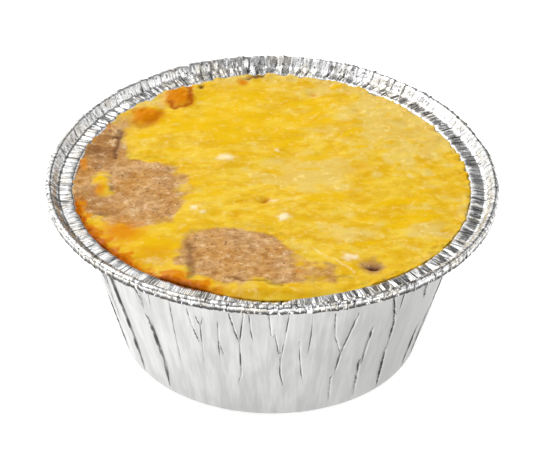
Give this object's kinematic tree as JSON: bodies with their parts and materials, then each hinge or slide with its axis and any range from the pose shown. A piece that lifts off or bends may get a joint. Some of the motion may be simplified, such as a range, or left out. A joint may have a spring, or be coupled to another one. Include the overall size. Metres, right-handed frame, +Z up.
{
  "type": "foil tray meal",
  "caption": "Baked dish with a yellow cheese topping over a brown filling, in a round crimped foil tray with a rolled rim.",
  "frame": {"origin": "on the surface it stands on, under the middle of the rim", "axes": "+Z up out of the tray, +X to the right and +Y to the back as the picture shows it"},
  "size_m": [0.1252, 0.1296, 0.0532],
  "materials": {
    "foil": "thin bright aluminium foil, pleated at the rim and creased on the wall",
    "filling": "brown grainy cooked filling, slightly moist",
    "topping": "melted and baked yellow cheese, slightly glossy, browned at the edge"
  },
  "bodies": {
    "root": {"tray": "foil", "filling": "filling", "topping": "topping"}
  },
  "joints": []
}
